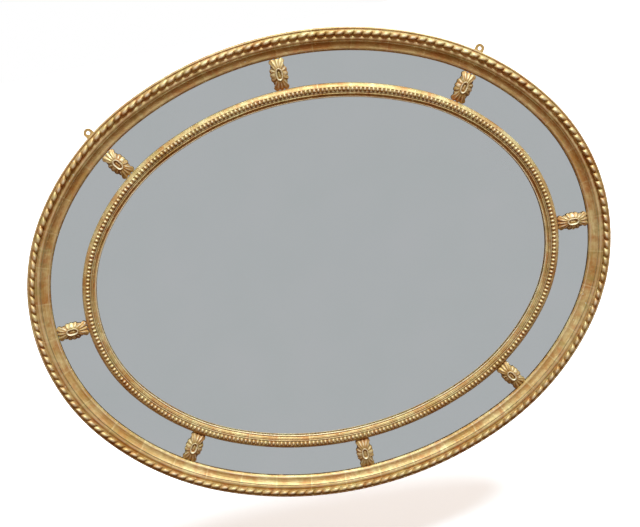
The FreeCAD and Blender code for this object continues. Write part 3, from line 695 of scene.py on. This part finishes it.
def clip_spoke(turn):
    """Start, direction and flute phase of a line from the clip's middle outward, for a turn from 0 to 4."""
    quarter = min(3, int(turn))
    share = turn - quarter if quarter % 2 == 0 else quarter + 1 - turn
    bend = FLUTE_REACH * math.pi / 2
    place = share * (bend + RING_HALF_STRAIGHT)
    angle = min(place, bend) / FLUTE_REACH
    along = 1 if quarter in (0, 3) else -1
    across = 1 if quarter < 2 else -1
    start = Vector((along * min(RING_HALF_STRAIGHT, RING_HALF_STRAIGHT + bend - place), 0))
    way = Vector((along * math.cos(angle), across * math.sin(angle)))
    flute = FLUTES_IN_QUARTER * (1 - (1 - share) ** FLUTE_CROWDING)
    return start, way, flute


def clip_reach(start, way):
    """How far a line across the clip goes before it leaves the last lobe of the outline."""
    reach = RING_END + RING_TUBE
    for x, y, radius in CLIP_LOBES:
        to = Vector((math.copysign(x, way.x), math.copysign(y, way.y))) - start
        inside = radius ** 2 - way.cross(to) ** 2
        if inside > 0:
            reach = max(reach, way.dot(to) + math.sqrt(inside))
    return reach


def carved_clip(name, angle):
    """One carved clip over the joint of two plates: flutes spread from a raised oval ring to a lobed edge."""
    bm = bmesh.new()
    run, dirt_and_shade, wear_and_highlight = add_layers(bm)
    bmesh.ops.create_grid(bm, x_segments=4 * FLUTES_IN_QUARTER * FLUTE_STEPS, y_segments=CLIP_ROWS,
                          size=1.0)
    for v in bm.verts:
        start, way, flute = clip_spoke(2 * (v.co.x + 1))
        row = round((v.co.y + 1) / 2 * CLIP_ROWS)
        edge = clip_reach(start, way)
        ring = RING_END * RING_SIDE / math.hypot(RING_SIDE * way.x, RING_END * way.y)
        inside, outside = ring - RING_TUBE, ring + RING_TUBE
        ridge = 0.5 + 0.5 * math.cos(2 * math.pi * flute)
        waist = math.exp(-(WAIST_NARROWNESS * (flute - WAIST_FLUTE)) ** 2)
        if row <= BOWL_ROWS:
            share = row / BOWL_ROWS
            away = inside * share
            height = BOWL_FLOOR + BUTTON_RISE * math.cos(math.pi / 2 * share)
            # Painted shade, with some dirt, darkens the bowl towards the ring
            hollow = BOWL_DIRT_AND_SHADE * share ** 2
            rubbed_and_highlit = 0.0
        elif row <= RING_LAST_ROW:
            share = (row - BOWL_ROWS) / (RING_LAST_ROW - BOWL_ROWS)
            swing = math.pi * (1 - share)
            away = ring + RING_TUBE * math.cos(swing)
            height = BOWL_FLOOR * (1 - share) + CLIP_CROWN * share + RING_RISE * math.sin(swing)
            # Painted shade in the ring's feet; rubbing and a painted highlight pale its crest
            hollow = RING_DIRT_AND_SHADE * (1 - math.sin(swing)) ** 2
            rubbed_and_highlit = math.sin(swing)
        else:
            share = min(1.0, (row - RING_LAST_ROW) / (CLIP_ROWS - 1 - RING_LAST_ROW))
            away = outside + (edge - outside) * share
            height = CLIP_RIM + (CLIP_CROWN - CLIP_RIM) * math.cos(math.pi / 2 * share ** CLIP_ROUNDING)
            cut = FLUTE_DEPTH * (1 - ridge) + WAIST_DEPTH * waist
            height -= cut * math.sin(math.pi * (FLUTE_FROM + FLUTE_SPAN * share))
            # Painted shade, with some dirt, in the flute troughs, the waist and the collar round the ring;
            # rubbing and painted highlight on the flute ridges
            hollow = max(FLUTE_DIRT_AND_SHADE * (1 - ridge) ** 2, WAIST_DIRT_AND_SHADE * waist, COLLAR_DIRT_AND_SHADE * (1 - share) ** 6)
            rubbed_and_highlit = FLUTE_WEAR_AND_HIGHLIGHT * ridge * math.sin(math.pi * share)
        flat = start + way * away
        v.co = Vector((flat.x, flat.y, 0.0 if row == CLIP_ROWS else height)) * MM
        v[run] = (flat.x * MM, flat.y * MM, 0)
        # The skirt down to the glass is painted in full shade, a dark under edge
        v[dirt_and_shade] = 1.0 if row == CLIP_ROWS else hollow
        v[wear_and_highlight] = rubbed_and_highlit
    bmesh.ops.remove_doubles(bm, verts=bm.verts[:], dist=MERGE_DISTANCE)
    bmesh.ops.contextual_create(bm, geom=[e for e in bm.edges if e.is_boundary])
    bmesh.ops.transform(bm, matrix=placed(angle, -BORDER_WIDTH / 2), verts=bm.verts[:])
    finish_piece("carved_clip_" + name, bm, [gilding], "clip_" + name)


def mirror_plate(name, node):
    """A plate like its solid, but thinner, so that its silvered back lies clear of the boards."""
    bm = bmesh.new()
    bm.from_mesh(node.data)
    bmesh.ops.remove_doubles(bm, verts=bm.verts[:], dist=MERGE_DISTANCE)
    behind = [v for v in bm.verts if v.co.y > -(BOARD_THICK + SILVER_CLEAR) * MM]
    bmesh.ops.translate(bm, verts=behind, vec=FRONT * SILVER_CLEAR * MM)
    bmesh.ops.recalc_face_normals(bm, faces=bm.faces[:])
    for face in bm.faces:
        face.material_index = 1 if face.normal.dot(FRONT) < -0.5 else 0
    finish_piece("silvered_" + name, bm, [plate_glass, tin_leaf], name)


for name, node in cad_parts.items():
    if name.startswith(("border_plate", "central_plate")):
        mirror_plate(name, node)
for arc in ARCS:
    frame_segment(arc)
    slip_segment(arc)
    rope_length(arc)
    bead_length(arc)
for arc, angle in zip(ARCS, CLIP_ANGLES):
    carved_clip(arc["name"], angle)

# Finishes of the pieces whose solids are shown as they are
for name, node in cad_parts.items():
    finish = None
    if name.startswith("backboard"):
        finish = pine[int(name[-1]) - 1]
    elif name.startswith("hanging_plate"):
        finish = brass
    elif name.endswith("screws"):
        finish = steel
    elif name == "frame_tongues":
        finish = beech
    if finish:
        node.data.materials.clear()
        node.data.materials.append(finish)

# Camera: found by fitting the oval's edges, the clips and the bead spacing
CAMERA_PLACE = Vector((-0.1062, -2.5714, 0.6509))
CAMERA_RIGHT = Vector((0.9754, -0.0887, -0.2017))
CAMERA_DOWN = Vector((-0.2169, -0.2264, -0.9496))
CAMERA_FOCAL_PX = 1200.0
IMAGE_WIDTH_PX = 640.0
SENSOR = 36.0

right = CAMERA_RIGHT.normalized()
up = (-CAMERA_DOWN - right * right.dot(-CAMERA_DOWN)).normalized()
back = right.cross(up)
lens = bpy.data.cameras.new("photo_camera")
lens.sensor_fit = "HORIZONTAL"
lens.sensor_width = SENSOR
lens.lens = SENSOR * CAMERA_FOCAL_PX / IMAGE_WIDTH_PX
camera = bpy.data.objects.new("photo_camera", lens)
bpy.context.scene.collection.objects.link(camera)
camera.matrix_world = Matrix((right, up, back)).transposed().to_4x4()
camera.matrix_world.translation = CAMERA_PLACE
bpy.context.scene.camera = camera

# Stage: a pale floor below, and a studio wall all round that only reflections see
FLOOR_LEVEL = -0.75
FLOOR_RADIUS = 30.0
WALL_DISTANCE = 6.0
WALL_GREY = "B0B4B7"
ROOM_BROWN = "B07A46"
AMBIENT_COLOUR = "FFC588"
AMBIENT_LEVEL = 0.18
FLOOR_COLOUR = "F2F2F2"
FLOOR_GLOW_NEAR = 0.5
FLOOR_GLOW_FROM = 0.6
FLOOR_GLOW_TO = 2.2
KEY_PLACE = (0.9, -1.85, 3.3)
KEY_COLOUR = (0.70, 0.88, 1.0)
KEY_STRENGTH = 5.0
KEY_ANGLE = 22.0
FILL_PLACE = (-0.6, -3.2, 1.2)
FILL_COLOUR = (1.0, 0.84, 0.64)
FILL_POWER = 4.0
FILL_SIZE = 2.4
BACK_PLACE = (0.9, 3.2, 0.4)
BACK_POWER = 65.0
BACK_SIZE = 2.0

world = bpy.data.worlds.new("studio")
bpy.context.scene.world = world
world.use_nodes = True
tree = world.node_tree
path = put(tree, "LightPath", {})
seen = put(tree, "Math", {0: path.outputs["Is Camera Ray"], 1: path.outputs["Is Glossy Ray"]},
           operation="MAXIMUM").outputs[0]
seen = put(tree, "Math", {0: seen, 1: path.outputs["Is Transmission Ray"]}, operation="MAXIMUM").outputs[0]
level = put(tree, "MapRange", {"Value": seen, "To Min": AMBIENT_LEVEL, "To Max": 1.0}).outputs["Result"]
shade = put(tree, "Mix", {0: seen, 6: linear(AMBIENT_COLOUR), 7: (1, 1, 1, 1)}, data_type="RGBA").outputs[2]
tree.links.new(shade, tree.nodes["Background"].inputs["Color"])
tree.links.new(level, tree.nodes["Background"].inputs["Strength"])


def stage_object(name, bm, material):
    mesh = bpy.data.meshes.new(name)
    bm.to_mesh(mesh)
    bm.free()
    mesh.materials.append(material)
    thing = bpy.data.objects.new(name, mesh)
    bpy.context.scene.collection.objects.link(thing)
    return thing


def floor():
    material, tree, shader = new_material("pale_floor")
    shader.inputs["Base Color"].default_value = linear(FLOOR_COLOUR)
    shader.inputs["Roughness"].default_value = 0.9
    shader.inputs["Emission Color"].default_value = (1, 1, 1, 1)
    place = put(tree, "TexCoord", {}).outputs["Object"]
    away = put(tree, "VectorMath", {0: place, 1: (0.0, 0.0, FLOOR_LEVEL)},
               operation="DISTANCE").outputs["Value"]
    glow = put(tree, "MapRange", {"Value": away, "From Min": FLOOR_GLOW_FROM, "From Max": FLOOR_GLOW_TO,
                                  "To Min": FLOOR_GLOW_NEAR, "To Max": 1.0})
    tree.links.new(glow.outputs["Result"], shader.inputs["Emission Strength"])
    bm = bmesh.new()
    bmesh.ops.create_circle(bm, cap_ends=True, segments=64, radius=FLOOR_RADIUS)
    bmesh.ops.translate(bm, verts=bm.verts[:], vec=(0, 0, FLOOR_LEVEL))
    ground = stage_object("floor", bm, material)
    ground.visible_glossy = False
    ground.visible_transmission = False
    ground.visible_diffuse = False


def studio_wall():
    """Round wall that only reflections see: plain grey in the plates, a warm room in the gilding."""
    material, tree, _ = new_material("grey_studio_wall")
    place = put(tree, "TexCoord", {}).outputs["Object"]
    height = put(tree, "SeparateXYZ", {"Vector": place}).outputs["Z"]
    rise = put(tree, "Math", {0: height, 1: WALL_DISTANCE}, operation="DIVIDE").outputs[0]
    low = put(tree, "MapRange", {"Value": rise, "From Min": -0.62, "From Max": -0.53,
                                 "To Min": 0.06}).outputs["Result"]
    high = put(tree, "MapRange", {"Value": rise, "From Min": 0.05, "From Max": 0.6,
                                  "To Max": 1.4}).outputs["Result"]
    strength = put(tree, "Math", {0: low, 1: high}, operation="ADD").outputs[0]
    above = put(tree, "MapRange", {"Value": rise, "From Min": 0.1, "From Max": 0.5}).outputs["Result"]
    colour = put(tree, "Mix", {0: above, 6: linear(ROOM_BROWN), 7: linear(WALL_GREY)},
                 data_type="RGBA").outputs[2]
    in_glass = put(tree, "LightPath", {}).outputs["Is Transmission Ray"]
    colour = put(tree, "Mix", {0: in_glass, 6: colour, 7: linear(WALL_GREY)}, data_type="RGBA").outputs[2]
    strength = put(tree, "Mix", {0: in_glass, 2: strength, 3: 1.0}).outputs[0]
    glow = put(tree, "Emission", {"Color": colour, "Strength": strength})
    tree.links.new(glow.outputs[0], tree.nodes["Material Output"].inputs["Surface"])
    bm = bmesh.new()
    bmesh.ops.create_uvsphere(bm, u_segments=48, v_segments=24, radius=WALL_DISTANCE)
    wall = stage_object("studio_wall", bm, material)
    wall.visible_camera = False
    wall.visible_diffuse = False
    wall.visible_volume_scatter = False
    wall.visible_shadow = False


def lamp(name, kind, place, energy):
    """Lamp of a kind that shines from a place on the middle of the mirror."""
    light = bpy.data.lights.new(name, kind)
    light.energy = energy
    thing = bpy.data.objects.new(name, light)
    bpy.context.scene.collection.objects.link(thing)
    thing.location = place
    thing.rotation_euler = Vector(place).to_track_quat("Z", "Y").to_euler()
    return thing


floor()
studio_wall()
key = lamp("key_light", "SUN", KEY_PLACE, KEY_STRENGTH)
key.data.color = KEY_COLOUR
key.data.angle = math.radians(KEY_ANGLE)
fill = lamp("fill_light", "AREA", FILL_PLACE, FILL_POWER)
fill.data.shape = "DISK"
fill.data.size = FILL_SIZE
fill.data.color = FILL_COLOUR
fill.visible_glossy = False
fill.visible_transmission = False
back_light = lamp("back_light", "AREA", BACK_PLACE, BACK_POWER)
back_light.data.shape = "DISK"
back_light.data.size = BACK_SIZE
bpy.context.scene.view_settings.view_transform = "Standard"
